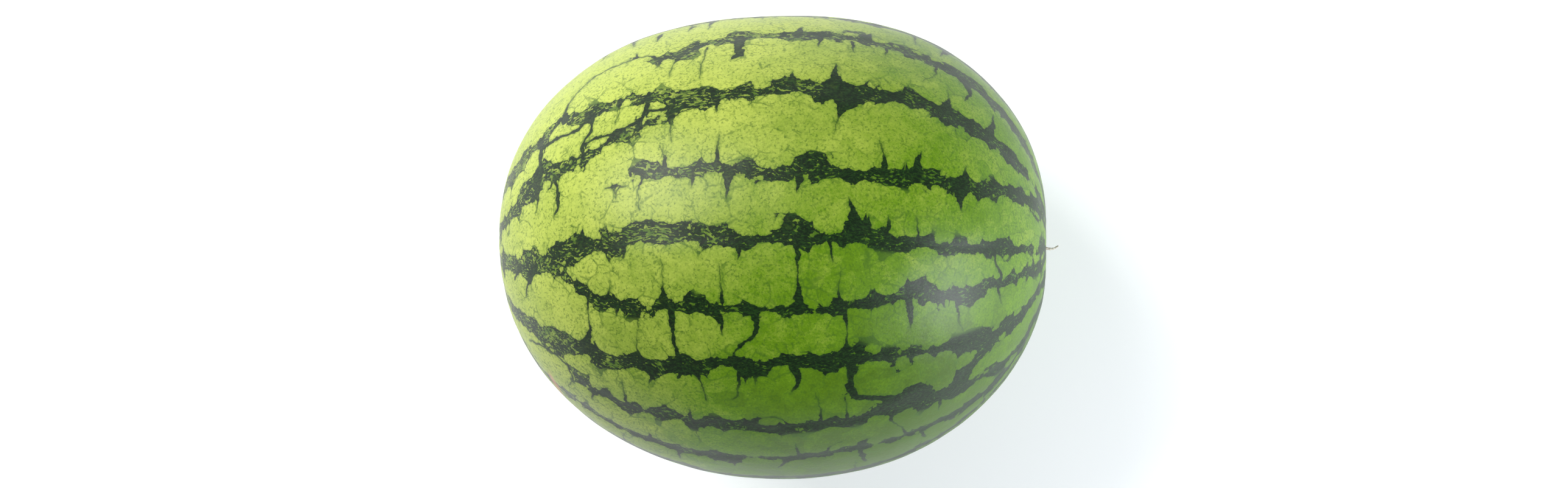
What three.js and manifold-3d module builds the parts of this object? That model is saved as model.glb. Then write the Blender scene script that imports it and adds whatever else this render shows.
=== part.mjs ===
// A whole oval watermelon lying on its side, with the dried end of its vine stalk.
// Millimetres, +Z up. +X runs along the fruit, from its blossom end to its stalk end.
// The origin is under the middle of the part, in the plane of the flat spot it rests on.

import * as THREE from 'three';
import { mergeVertices } from 'three/addons/utils/BufferGeometryUtils.js';
import Module from 'manifold-3d';

// ---------------------------------------------------------------- driving dimensions

const LENGTH = 270;               // fruit, blossom end to stalk end
const DIAMETER = 228;             // fruit, across the middle
const ROUNDNESS = 2.2;            // power of the outline: 2 is an ellipse, more is fuller
const LOPSIDED = 0.12;            // how much fuller than that the +Y side is, and slimmer the -Y side
const STALK_END_FULLNESS = 0.025; // the half towards the stalk is this much wider
const REST_DEPTH = 4.6;           // how far the underside is pressed flat by its own weight

const STALK_DIMPLE_DEPTH = 2.0;   // hollow around the stalk
const STALK_DIMPLE_RADIUS = 13;
const BLOSSOM_DIMPLE_DEPTH = 1.0; // hollow around the blossom scar
const BLOSSOM_DIMPLE_RADIUS = 9;

const STALK_THICKNESS = 1.3;
const STALK_REACH = 6.5;          // how far the stalk stands out from the bottom of its hollow
const STALK_DROOP = 0.9;          // how far its tip hangs below its foot
const STALK_CURL = 0.9;           // how far it bends to -Y and then back past +Y
const GAP = 0.3;                  // clearance between the stalk and the fruit

const SLICES = 72;                // facets around the fruit
const RINGS = 40;                 // facets from end to end
const STALK_SIDES = 10;
const STALK_STEPS = 14;

const HALF_LENGTH = LENGTH / 2;
const RADIUS = DIAMETER / 2;

// ---------------------------------------------------------------- materials

const rind = new THREE.MeshStandardMaterial({
  name: 'rind',
  color: 0x6f9a35,
  roughness: 0.42,
  metalness: 0,
});

const driedStalk = new THREE.MeshStandardMaterial({
  name: 'dried_stalk',
  color: 0xc2b9a4,
  roughness: 0.85,
  metalness: 0,
});

// ---------------------------------------------------------------- solids

const wasm = await Module();
wasm.setup();

/** Strips a geometry to shared positions, so that it is one closed skin. */
function closedSkin(geometry) {
  const bare = geometry.clone();
  bare.deleteAttribute('normal');
  bare.deleteAttribute('uv');
  return mergeVertices(bare, 1e-4);
}

/** A manifold solid of a closed three.js geometry. */
function toSolid(geometry) {
  const skin = closedSkin(geometry);
  return new wasm.Manifold(new wasm.Mesh({
    numProp: 3,
    vertProperties: new Float32Array(skin.attributes.position.array),
    triVerts: new Uint32Array(skin.index.array),
  }));
}

/** A three.js geometry of a manifold solid. */
function toGeometry(solid) {
  const mesh = solid.getMesh();
  const geometry = new THREE.BufferGeometry();
  geometry.setAttribute('position', new THREE.BufferAttribute(mesh.vertProperties, 3));
  geometry.setIndex(new THREE.BufferAttribute(mesh.triVerts, 1));
  geometry.computeVertexNormals();
  return geometry;
}

// ---------------------------------------------------------------- fruit

/** How far a round hollow lowers the skin at a given distance from its middle. */
function dimple(distance, depth, radius) {
  return depth * Math.exp(-((distance / radius) ** 2));
}

/** A point of the rind. across is the angle from the stalk end, around is the angle from +Y to +Z. */
function rindPoint(across, around) {
  const power = 2 / (ROUNDNESS + LOPSIDED * Math.cos(around));
  const along = Math.sign(Math.cos(across)) * Math.abs(Math.cos(across)) ** power;
  const width = Math.abs(Math.sin(across)) ** power * (1 + STALK_END_FULLNESS * along);
  const radius = RADIUS * width;
  const hollow = along > 0
    ? dimple(radius, STALK_DIMPLE_DEPTH, STALK_DIMPLE_RADIUS)
    : -dimple(radius, BLOSSOM_DIMPLE_DEPTH, BLOSSOM_DIMPLE_RADIUS);
  return new THREE.Vector3(
    HALF_LENGTH * along - hollow,
    radius * Math.cos(around),
    radius * Math.sin(around),
  );
}

/** The whole fruit, its centre at the origin and its underside not yet flattened. */
function roundFruit() {
  const geometry = new THREE.SphereGeometry(1, SLICES, RINGS);
  const position = geometry.attributes.position;
  const point = new THREE.Vector3();
  for (let i = 0; i < position.count; i += 1) {
    point.fromBufferAttribute(position, i);
    const across = Math.acos(THREE.MathUtils.clamp(point.y, -1, 1));
    const around = Math.atan2(point.x, point.z);
    const moved = rindPoint(across, around);
    position.setXYZ(i, moved.x, moved.y, moved.z);
  }
  return geometry;
}

/** A block that takes the underside off at the level the fruit rests on. */
function groundBlock() {
  const height = RADIUS;
  const block = new THREE.BoxGeometry(LENGTH * 2, DIAMETER * 2, height);
  block.translate(0, 0, REST_DEPTH - RADIUS - height / 2);
  return block;
}

function fruit() {
  const solid = toSolid(roundFruit()).subtract(toSolid(groundBlock()));
  const mesh = new THREE.Mesh(toGeometry(solid), rind);
  mesh.name = 'fruit';
  return mesh;
}

// ---------------------------------------------------------------- stalk

/** The dried stalk: it leaves the hollow, droops a little and curls to one side at its tip. */
function stalk() {
  const foot = HALF_LENGTH - STALK_DIMPLE_DEPTH + GAP;
  const course = new THREE.CatmullRomCurve3([
    new THREE.Vector3(foot, 0, 0),
    new THREE.Vector3(foot + STALK_REACH * 0.3, -0.7 * STALK_CURL, -0.2 * STALK_DROOP),
    new THREE.Vector3(foot + STALK_REACH * 0.65, -0.7 * STALK_CURL, -0.6 * STALK_DROOP),
    new THREE.Vector3(foot + STALK_REACH, STALK_CURL, -STALK_DROOP),
  ]);
  const section = new THREE.Shape();
  section.absarc(0, 0, STALK_THICKNESS / 2, 0, Math.PI * 2);
  const geometry = new THREE.ExtrudeGeometry(section, {
    steps: STALK_STEPS,
    curveSegments: STALK_SIDES,
    extrudePath: course,
  });
  const mesh = new THREE.Mesh(closedSkin(geometry), driedStalk);
  mesh.name = 'stalk';
  return mesh;
}

// ---------------------------------------------------------------- watermelon

const watermelon = new THREE.Group();
watermelon.name = 'watermelon';
watermelon.add(fruit(), stalk());

// stand it on its flat spot, with the origin under the middle of the whole part
const extent = new THREE.Box3().setFromObject(watermelon, true);
const middle = extent.getCenter(new THREE.Vector3());
watermelon.position.set(-middle.x, -middle.y, -extent.min.z);
watermelon.updateMatrixWorld(true);

export default watermelon;
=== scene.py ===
import math

import bpy
import numpy as np
from bpy.props import FloatProperty, FloatVectorProperty, IntProperty, PointerProperty
from bpy.types import Operator, Panel, PropertyGroup
from mathutils import Matrix, Vector, noise


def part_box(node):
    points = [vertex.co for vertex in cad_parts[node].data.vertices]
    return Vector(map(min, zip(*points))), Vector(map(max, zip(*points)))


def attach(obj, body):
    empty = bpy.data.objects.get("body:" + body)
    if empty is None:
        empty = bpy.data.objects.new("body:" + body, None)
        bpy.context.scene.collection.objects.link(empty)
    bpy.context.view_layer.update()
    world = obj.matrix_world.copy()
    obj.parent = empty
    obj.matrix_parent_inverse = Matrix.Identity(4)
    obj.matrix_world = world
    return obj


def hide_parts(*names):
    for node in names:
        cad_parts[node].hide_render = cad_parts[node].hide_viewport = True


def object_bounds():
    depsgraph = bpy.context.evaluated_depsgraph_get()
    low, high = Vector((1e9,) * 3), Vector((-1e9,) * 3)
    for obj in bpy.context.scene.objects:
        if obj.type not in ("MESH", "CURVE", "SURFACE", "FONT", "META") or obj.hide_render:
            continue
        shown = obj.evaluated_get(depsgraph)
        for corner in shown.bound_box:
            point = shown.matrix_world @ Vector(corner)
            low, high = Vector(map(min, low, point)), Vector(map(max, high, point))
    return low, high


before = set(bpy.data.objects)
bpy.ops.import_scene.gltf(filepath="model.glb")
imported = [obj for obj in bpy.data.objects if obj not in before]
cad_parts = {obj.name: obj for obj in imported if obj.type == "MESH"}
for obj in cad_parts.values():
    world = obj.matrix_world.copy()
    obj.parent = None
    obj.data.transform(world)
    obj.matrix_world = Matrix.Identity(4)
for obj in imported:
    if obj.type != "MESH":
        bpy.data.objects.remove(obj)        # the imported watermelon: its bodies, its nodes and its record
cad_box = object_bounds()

bl_info = {
    "name": "Striped Watermelon",
    "version": (1, 0, 0),
    "blender": (4, 5, 0),
    "location": "View3D > Sidebar > Watermelon",
    "description": "Grows a whole striped watermelon with a netted rind and a dried stalk",
    "category": "Add Mesh",
}

MM = 0.001

# The skin of the fruit, in metres.
BROAD_SWELL = 45 * MM      # size of the wide swells
FINE_SWELL = 14 * MM       # size of the small ones on them
STRIPE_DEPTH = 0.00012     # how far the stripes sink, and the light bands stand up
RING_HEIGHT = 0.0005       # raised ring round the blossom scar and round the stalk
COLLAR_RADIUS = 0.0042     # of the ring round the stalk
COLLAR_WIDTH = 0.0016
COLLAR_REACH = 0.02        # the ring is cut off at this radius
DRY_FOOT = 0.0028          # the dry skin round the stalk reaches a little past this radius
GROUND_SHIFT = 0.012       # moves the ground spot towards the blossom end and the near side
FLAT_SOFTNESS = 0.0006     # of the turn from the side into the flat underside
STALK_ROOT = 0.0006        # how much further in than the solid stalk the fine one starts

# The pattern of the skin, in mm.
LOBE_SIZE = 11
LOBELET_SIZE = 4.4

# The ground spot is full within the inner angle and ends at the outer one, in degrees from straight down.
GROUND_INNER = 16
GROUND_OUTER = 52

# Two places that the scratch runs through: from -1 to 1 along the fruit, and degrees from the top.
SCRATCH_PLACES = [-0.77, -0.755]
SCRATCH_BEARINGS = [-56, -68]

# The stage, in metres. The lights stand at these places as seen from the middle of the fruit.
KEY_AT = (-0.74, 0.62, 1.0)
KEY_COLOUR = (1.0, 0.99, 0.96)
SIDE_AT = (1.25, -0.5, 0.5)
SIDE_COLOUR = (0.93, 0.96, 1.0)
LIGHT_SIZE = 0.85
WALL_COLOUR = (0.97, 0.985, 1.0)
FLOOR_SIZE = 16.0
AIM_RIGHT = 0.005          # the camera aims this far right of the middle
AIM_UP = 0.0017            # and this far towards the far side

# ------------------------------------------------------------------ the pattern of the rind
#
# Every mark is a row of stations. A station says how far along the fruit it is, from -1 at the
# blossom end to 1 at the stalk end, its bearing round the fruit in degrees, from 0 on top
# towards +Y, and how wide the mark is there in mm.

# The dark stripes of the upper side, which run from end to end.
TOP_STRIPES = (
    # far side
    ((-0.36, 55, 2), (-0.3, 56, 6), (-0.2, 59, 5), (-0.1, 61, 6), (0.1, 61, 6), (0.2, 62, 7),
     (0.4, 62, 6), (0.6, 61.5, 7), (0.75, 62, 9), (0.95, 60, 7)),
    # the broad one with two large barbs
    ((-0.97, 42, 5), (-0.87, 38.5, 8), (-0.78, 41, 6), (-0.69, 44, 4.5), (-0.64, 42, 3.5), (-0.59, 40, 6),
     (-0.5, 41.5, 3), (-0.42, 41.5, 3.5), (-0.36, 40, 3.5), (-0.29, 38, 8), (-0.2, 37, 10), (-0.1, 38, 6),
     (0, 38.5, 6), (0.1, 40, 8), (0.2, 41, 7), (0.3, 39.5, 10), (0.4, 40.5, 8), (0.6, 41, 9),
     (0.7, 40, 8), (0.8, 40, 7), (0.97, 38, 6)),
    # its lower branch at the blossom end
    ((-0.97, 12, 5), (-0.93, 14, 6), (-0.86, 18, 8), (-0.79, 22, 10), (-0.75, 24.5, 9), (-0.7, 24.5, 7),
     (-0.62, 25, 7), (-0.57, 26, 6), (-0.5, 29, 3.5), (-0.46, 29.5, 3), (-0.4, 31, 3.5), (-0.35, 32.5, 2),
     (-0.3, 34, 2), (-0.27, 36, 6)),
    # the short one that starts a third of the way along
    ((-0.39, 18.5, 3), (-0.36, 18.5, 8), (-0.3, 18, 6), (-0.22, 17.7, 3.5), (-0.1, 18.5, 5), (0, 17.7, 5),
     (0.1, 17.5, 5), (0.17, 18.8, 9), (0.22, 18.8, 9), (0.3, 17.5, 5), (0.4, 17.5, 5.5), (0.5, 17.8, 5),
     (0.6, 18.5, 7), (0.7, 18.5, 8), (0.8, 20.5, 6), (0.88, 23, 5), (0.97, 26, 5)),
    # along the crest
    ((-0.97, -10, 6), (-0.87, -7.5, 8), (-0.8, -6, 8), (-0.7, -4, 10), (-0.6, 0, 9), (-0.5, 1, 8),
     (-0.4, 3, 9), (-0.3, 3.8, 10), (-0.2, 2.8, 7), (-0.1, 2.8, 6), (0, 2.3, 5), (0.08, 2, 5),
     (0.13, 3.5, 9), (0.2, 2.5, 7), (0.3, 2.3, 7), (0.36, 3.5, 8), (0.45, 2.3, 6), (0.5, 1.8, 5),
     (0.6, 0.7, 4), (0.7, 0.2, 3.5), (0.8, 0, 4), (0.97, 0, 5)),
    # the thin one that branches off the crest
    ((-0.69, -7.5, 4), (-0.63, -9.5, 3.5), (-0.58, -12, 4), (-0.53, -14, 4), (-0.45, -14, 3),
     (-0.4, -14.5, 3.2), (-0.34, -14.2, 3.5), (-0.3, -12.8, 6), (-0.24, -13.5, 4), (-0.2, -13.5, 3),
     (-0.1, -13.3, 3), (0, -14, 3.5), (0.1, -14, 3.5), (0.15, -13.8, 6), (0.2, -14.5, 4),
     (0.3, -14.3, 3.5), (0.38, -13.3, 5), (0.45, -12.5, 6), (0.5, -12, 5), (0.55, -9.8, 8),
     (0.6, -11.5, 5), (0.63, -13, 4), (0.7, -14.2, 5), (0.76, -13.5, 5), (0.85, -13, 4), (0.97, -12, 4)),
    # near side, upper
    ((-0.97, -38, 5), (-0.85, -34, 8), (-0.78, -33, 9), (-0.72, -32.5, 11), (-0.66, -32, 10),
     (-0.6, -30.5, 8), (-0.54, -31, 7), (-0.5, -31, 6), (-0.4, -31, 6), (-0.3, -30, 7), (-0.2, -28.5, 7),
     (-0.1, -27, 6), (0, -28, 5.5), (0.1, -27, 5), (0.2, -27.5, 6), (0.3, -26.3, 10), (0.4, -27.5, 4),
     (0.5, -28.5, 4), (0.6, -29.8, 4), (0.66, -30.5, 5), (0.75, -33, 9), (0.85, -34, 7), (0.97, -36, 6)),
    # near side, lower
    ((-0.66, -41, 1.2), (-0.64, -44.5, 3), (-0.6, -46.5, 4), (-0.56, -45.5, 4), (-0.5, -47, 5),
     (-0.45, -47.5, 4), (-0.4, -47, 3.5), (-0.3, -45, 7), (-0.22, -47, 5), (-0.1, -46, 4),
     (-0.02, -46.5, 6), (0.05, -47.6, 3), (0.1, -46.5, 4), (0.3, -46.5, 4), (0.4, -46, 5),
     (0.45, -46, 7), (0.57, -45.5, 10), (0.62, -47, 7), (0.68, -45, 7), (0.74, -40, 8), (0.79, -36, 7)),
    ((0.62, -47.5, 3), (0.7, -49, 4), (0.78, -51.5, 5), (0.85, -55, 5), (0.97, -60, 4)),
    # near rim
    ((-0.97, -62, 4), (-0.75, -60, 3), (-0.65, -59, 4), (-0.5, -60.5, 5), (-0.4, -60.5, 5),
     (-0.3, -62, 7), (-0.2, -61, 6), (-0.1, -60.5, 5), (0, -60, 4), (0.2, -60, 5), (0.3, -59, 5),
     (0.4, -60, 4), (0.5, -60, 5), (0.6, -61, 6), (0.7, -63, 7), (0.8, -65, 7), (0.97, -66, 6)),
)

# The barbs, bridges and cracks of the upper side. Most start wide at a stripe and run out thin.
TOP_CRACKS = (
    # far side stripe
    ((-0.08, 60, 7), (-0.08, 56, 4), (-0.08, 52, 5), (-0.1, 50.5, 1)),
    ((-0.28, 55, 3), (-0.3, 51, 0.8), (-0.31, 46, 0.6)),
    ((-0.19, 57, 1), (-0.2, 50, 0.8), (-0.2, 44, 0.6)),
    ((-0.35, 54, 2.5), (-0.36, 51, 0.6)),
    ((0.2, 60, 3), (0.2, 56, 0.8)),
    ((0.31, 60, 2.5), (0.32, 55, 0.6)),
    ((0.43, 60, 2), (0.43, 56, 0.6)),
    ((0.6, 60, 2), (0.6, 55, 0.8), (0.56, 50, 0.5)),
    ((0.12, 62, 6), (0.13, 66.5, 1)),
    ((0.36, 63, 7), (0.37, 68, 1)),
    ((0.7, 60, 8), (0.72, 55, 3), (0.7, 50, 1)),
    ((-0.36, 55, 2.5), (-0.4, 58, 1.2), (-0.5, 58.5, 1.2), (-0.6, 58, 1.2), (-0.66, 54, 1), (-0.69, 49, 1.5),
     (-0.69, 45, 3)),
    ((-0.45, 58.5, 2.5), (-0.45, 61.5, 1)),
    ((-0.39, 67, 0.6), (-0.385, 72, 3), (-0.38, 74, 1)),
    ((-0.28, 70, 0.6), (-0.27, 75, 3)),
    # broad stripe with the barbs
    ((0.29, 39.5, 17), (0.3, 37, 15), (0.295, 35, 7), (0.285, 32.5, 1.6), (0.27, 28, 0.7)),
    ((0.26, 41, 9), (0.262, 45, 4), (0.265, 49, 0.8)),
    ((0.12, 41, 5), (0.12, 45, 0.8)),
    ((0.36, 42, 3), (0.385, 45, 0.6)),
    ((0.64, 42, 7), (0.65, 47, 1), (0.64, 51, 0.6)),
    ((0.79, 42, 8), (0.8, 47, 3), (0.8, 53, 0.8)),
    ((-0.6, 41, 3), (-0.585, 38.5, 7), (-0.575, 36, 2.6), (-0.58, 33, 2), (-0.6, 31, 2), (-0.6, 27, 3)),
    ((-0.69, 46, 4), (-0.69, 43, 5)),
    ((-0.76, 36.3, 2.2), (-0.7, 36.6, 1.8), (-0.63, 36, 1.8), (-0.6, 38, 2.4)),
    ((-0.48, 41.5, 2), (-0.475, 37.5, 0.8), (-0.485, 34, 0.6)),
    ((-0.375, 41, 3), (-0.378, 36, 2.8), (-0.39, 33.5, 2.6), (-0.4, 31, 3)),
    ((-0.38, 35.8, 2), (-0.34, 35.3, 1.8), (-0.29, 36, 3)),
    ((-0.49, 31.6, 1.4), (-0.44, 32.2, 1.8), (-0.39, 33, 2.4)),
    ((-0.6, 30.4, 1.8), (-0.53, 31, 1.7), (-0.47, 30.4, 2.4)),
    ((-0.785, 41, 5), (-0.772, 36, 3), (-0.77, 30, 4), (-0.78, 24, 8)),
    ((-0.7, 22, 2.5), (-0.69, 19, 2), (-0.685, 15, 3), (-0.685, 12, 2), (-0.7, 9, 0.6)),
    ((-0.77, 20, 4), (-0.77, 15, 1.2), (-0.775, 12, 0.6)),
    ((-0.29, 34, 3), (-0.285, 30, 1), (-0.28, 26, 0.6)),
    ((-0.13, 36.5, 2.5), (-0.13, 33, 0.8)),
    # short stripe
    ((0.69, 17, 9), (0.688, 14, 4), (0.69, 11, 0.8)),
    ((0.16, 16, 4.5), (0.155, 13, 1.5)),
    ((-0.08, 17.5, 5), (-0.08, 14, 2.4), (-0.085, 11, 0.6)),
    ((-0.2, 17, 2), (-0.2, 14, 0.6)),
    ((-0.37, 18, 3), (-0.385, 15, 0.9), (-0.38, 9, 0.5)),
    ((-0.51, 15.4, 0.6), (-0.47, 15.8, 1.8), (-0.43, 15.4, 0.6)),
    ((-0.475, 16, 1.4), (-0.465, 12, 0.5)),
    ((-0.3, 19, 4), (-0.3, 22, 1.2), (-0.32, 25, 0.6)),
    ((-0.12, 19.5, 3), (-0.12, 24, 0.9), (-0.11, 27, 0.5)),
    ((0.44, 18.5, 5), (0.435, 23, 1.3), (0.42, 27, 0.6)),
    ((0.54, 19, 9), (0.545, 22.5, 3.5), (0.56, 25.5, 0.8)),
    ((0.5, 19, 2.5), (0.505, 21.8, 0.8)),
    ((0.7, 21, 1.6), (0.71, 25, 0.6)),
    # crest stripe
    ((-0.59, 1.5, 7), (-0.585, 5.2, 0.8)),
    ((0.12, 4.5, 6), (0.125, 8, 1)),
    ((0.345, 4.5, 8), (0.34, 8, 4.5), (0.32, 11.5, 0.8)),
    ((0.385, 4.5, 4), (0.388, 7.5, 1)),
    ((0.45, 3.5, 3), (0.455, 7.5, 0.8)),
    ((0.55, 2, 1.6), (0.545, 8, 0.6)),
    ((-0.04, 1, 4), (-0.04, -2.5, 0.8)),
    ((0.26, 1, 3), (0.27, -3.5, 0.6)),
    ((-0.43, 0, 2), (-0.44, -3, 0.8)),
    ((-0.5, -1.5, 0.8), (-0.485, -3.4, 1.2)),
    ((0.8, 0, 3), (0.81, -5, 1.4), (0.83, -11, 2)),
    ((-0.78, -7, 4), (-0.8, -11, 2.4), (-0.82, -16, 1.8), (-0.83, -20, 0.8)),
    ((-0.85, -8, 3), (-0.88, -15, 1.6)),
    ((0.155, 1, 4.5), (0.156, -3, 1.6), (0.158, -7, 1.4), (0.158, -10, 3), (0.155, -13.5, 8)),
    # thin stripe
    ((-0.3, -12, 4), (-0.3, -9, 1), (-0.3, -3, 0.6)),
    ((-0.1, -12.5, 2.4), (-0.1, -9, 0.9), (-0.105, -4, 0.6)),
    ((0.29, -13.5, 3), (0.29, -9, 0.8), (0.3, -5, 0.5)),
    ((-0.27, -14.5, 4), (-0.272, -20, 2.2), (-0.262, -24, 1.8), (-0.25, -27, 3)),
    ((-0.4, -15, 3), (-0.39, -18, 1), (-0.4, -25, 0.8), (-0.39, -29, 2.4)),
    ((-0.12, -14, 1.6), (-0.1, -17, 2.4), (-0.1, -20, 0.8)),
    ((0.015, -15, 4.5), (0.012, -19, 2.2), (0, -20.8, 1.6), (-0.04, -22.5, 2), (-0.065, -25, 1.2),
     (-0.07, -27, 2.4)),
    ((-0.57, -13.5, 3), (-0.575, -18, 0.9), (-0.57, -22, 1.4), (-0.58, -26, 4), (-0.6, -30, 7)),
    ((0.31, -15.5, 3), (0.315, -20, 0.9), (0.31, -23, 2), (0.3, -26, 6)),
    ((0.52, -12.5, 5), (0.525, -18, 2.4), (0.525, -21, 0.6)),
    ((0.62, -13, 4), (0.64, -17, 0.8)),
    ((0.68, -15, 3), (0.685, -22, 0.9), (0.7, -27, 0.8), (0.71, -31, 2)),
    ((0.82, -13, 4), (0.82, -17, 1.4), (0.83, -22, 0.6)),
    ((-0.46, -15, 2), (-0.47, -18, 0.6)),
    # near side, upper
    ((0.22, -26.5, 3), (0.19, -24.6, 1.2), (0.16, -24.4, 0.6)),
    ((-0.35, -32, 3), (-0.37, -36, 0.7)),
    ((-0.2, -29, 5), (-0.19, -32, 1.8), (-0.175, -36, 0.9), (-0.17, -38.5, 1.2)),
    ((-0.05, -28, 4), (-0.055, -34, 1), (-0.07, -37.4, 0.9), (-0.09, -37.6, 0.5)),
    ((0, -29, 2), (0.005, -33, 0.6)),
    ((0.13, -28, 5), (0.15, -32.5, 2.4), (0.12, -35.5, 0.7)),
    ((0.33, -28, 7), (0.325, -32, 4), (0.32, -36, 5), (0.34, -38.5, 4), (0.39, -39.5, 3), (0.44, -41.5, 5),
     (0.5, -42, 8), (0.56, -42, 9), (0.58, -45, 7)),
    ((0.5, -40.5, 5), (0.53, -39.8, 5), (0.57, -41, 5)),
    ((0.435, -42, 4), (0.44, -46, 4)),
    ((-0.25, -29.5, 3), (-0.26, -33, 0.7)),
    # near side, lower
    ((-0.84, -44, 1), (-0.8, -40, 1.4), (-0.73, -38.5, 1.1), (-0.68, -40.5, 1.5), (-0.665, -45, 1.2),
     (-0.69, -52, 0.8)),
    ((-0.46, -46.5, 4), (-0.465, -42, 1), (-0.47, -37, 0.6)),
    ((-0.23, -46, 2.4), (-0.235, -42, 0.6)),
    ((-0.02, -46, 6), (0.01, -42.6, 0.9)),
    ((0, -43.6, 1), (0.05, -43, 0.9), (0.09, -43.8, 0.9), (0.1, -46, 2)),
    ((0.21, -46, 2.4), (0.215, -40, 0.8), (0.2, -36, 0.6)),
    ((0.3, -46, 2.4), (0.305, -42, 0.9), (0.3, -38, 0.8)),
    ((-0.55, -45.5, 5), (-0.53, -42, 0.8)),
    ((-0.59, -47, 2.5), (-0.6, -51, 0.6)),
    ((-0.22, -47.5, 4), (-0.22, -50, 1), (-0.21, -55, 0.6)),
    ((0.46, -47.5, 3), (0.45, -50, 1.4), (0.48, -54, 1), (0.5, -59, 2)),
    ((0.62, -48, 2), (0.61, -54, 0.8)),
    # near rim
    ((-0.4, -60, 4), (-0.4, -57, 0.8)),
    ((0.22, -59.5, 3), (0.24, -56, 1), (0.29, -54.6, 0.8)),
    ((0.35, -59, 6), (0.34, -57, 3), (0.38, -55.8, 0.8)),
    ((0.13, -59.5, 2.4), (0.12, -53, 0.7)),
    ((-0.1, -62, 3), (-0.11, -67, 0.8)),
    ((0.08, -62, 3), (0.04, -67, 0.8)),
    ((0.34, -62, 4), (0.35, -70, 1)),
    ((-0.3, -63, 3), (-0.31, -69, 0.8)),
    ((0.55, -62, 3), (0.56, -68, 0.8)),
)

# Bearings of the stripes of the side that lies underneath, and how wide they are.
LOWER_STRIPES = (
    (80, 6), (99, 8), (117, 5), (136, 9), (156, 6), (176, 7),
    (197, 5), (216, 8), (234, 6), (251, 9), (268, 5), (284, 7),
)
LOWER_SEED = 11


class FruitShape(PropertyGroup):
    """Sizes of the fruit."""

    length: FloatProperty(
        name="Length", description="From the blossom end to the stalk end", default=0.270, unit="LENGTH")
    diameter: FloatProperty(
        name="Diameter", description="Across the middle", default=0.228, unit="LENGTH")
    roundness: FloatProperty(
        name="Roundness", description="Power of the outline: 2 is an ellipse, more is fuller", default=2.2)
    lopsided: FloatProperty(
        name="Lopsided", description="How much fuller the +Y side is than the -Y side", default=0.12)
    stalk_end_fullness: FloatProperty(
        name="Stalk end fullness", description="How much wider the half towards the stalk is", default=0.025)
    stalk_dimple_depth: FloatProperty(
        name="Stalk hollow", description="Depth of the hollow around the stalk", default=0.002, unit="LENGTH")
    stalk_dimple_radius: FloatProperty(
        name="Stalk hollow radius", description="Reach of that hollow", default=0.013, unit="LENGTH")
    blossom_dimple_depth: FloatProperty(
        name="Blossom hollow", description="Depth of the hollow at the scar", default=0.001, unit="LENGTH")
    blossom_dimple_radius: FloatProperty(
        name="Blossom hollow radius", description="Reach of that hollow", default=0.009, unit="LENGTH")
    scar_radius: FloatProperty(
        name="Blossom scar", description="Radius of the dry button at the blossom end", default=0.0034,
        unit="LENGTH")
    swell: FloatProperty(
        name="Swell", description="Height of the gentle unevenness of the skin", default=0.0005,
        unit="LENGTH")
    around: IntProperty(
        name="Around", description="Faces round the fruit", default=432, min=48)
    along: IntProperty(
        name="Along", description="Faces from end to end", default=214, min=24)


class RindColours(PropertyGroup):
    """Colours and finish of the rind."""

    pale: FloatVectorProperty(
        name="Pale rind", description="Yellow-green of the light bands", subtype="COLOR",
        default=(0.39, 0.465, 0.075))
    deep: FloatVectorProperty(
        name="Deep rind", description="Greener parts of the light bands", subtype="COLOR",
        default=(0.088, 0.185, 0.003))
    # painted shade: the darkest green, laid low on the near side, away from the key light
    painted_shade: FloatVectorProperty(
        name="Shaded rind", description="Darkest green of the side away from the sun", subtype="COLOR",
        default=(0.042, 0.090, 0.002))
    vein: FloatVectorProperty(
        name="Veins", description="Thin veins and flecks", subtype="COLOR", default=(0.04, 0.10, 0.006))
    stripe: FloatVectorProperty(
        name="Stripes", description="Blackish green of the stripes", subtype="COLOR",
        default=(0.003, 0.011, 0.003))
    stripe_green: FloatVectorProperty(
        name="Stripe green", description="Lighter threads in the stripes", subtype="COLOR",
        default=(0.012, 0.040, 0.006))
    ground: FloatVectorProperty(
        name="Ground spot", description="Cream of the side that grew on the soil", subtype="COLOR",
        default=(0.72, 0.58, 0.22))
    scar: FloatVectorProperty(
        name="Scars", description="Tan of old scratches", subtype="COLOR", default=(0.46, 0.22, 0.09))
    dry: FloatVectorProperty(
        name="Dry ends", description="Blossom scar and the ring round the stalk", subtype="COLOR",
        default=(0.30, 0.22, 0.11))
    roughness: FloatProperty(
        name="Roughness", description="Roughness of the waxy skin", default=0.40, min=0, max=1)


class StalkShape(PropertyGroup):
    """Sizes and colour of the dried stalk."""

    foot_radius: FloatProperty(
        name="Foot radius", description="Where it joins the fruit", default=0.0013, unit="LENGTH")
    middle_radius: FloatProperty(
        name="Middle radius", description="Halfway along", default=0.00055, unit="LENGTH")
    tip_radius: FloatProperty(
        name="Tip radius", description="At its dry end", default=0.0004, unit="LENGTH")
    droop: FloatProperty(
        name="Droop", description="How far the tip hangs", default=0.0009, unit="LENGTH")
    curl: FloatProperty(
        name="Curl", description="How far it bends sideways", default=0.0009, unit="LENGTH")
    ribs: IntProperty(
        name="Ribs", description="Ridges round the stalk", default=5)
    colour: FloatVectorProperty(
        name="Dry stalk", description="Grey-beige of the dried fibre", subtype="COLOR",
        default=(0.72, 0.68, 0.60))


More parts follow.
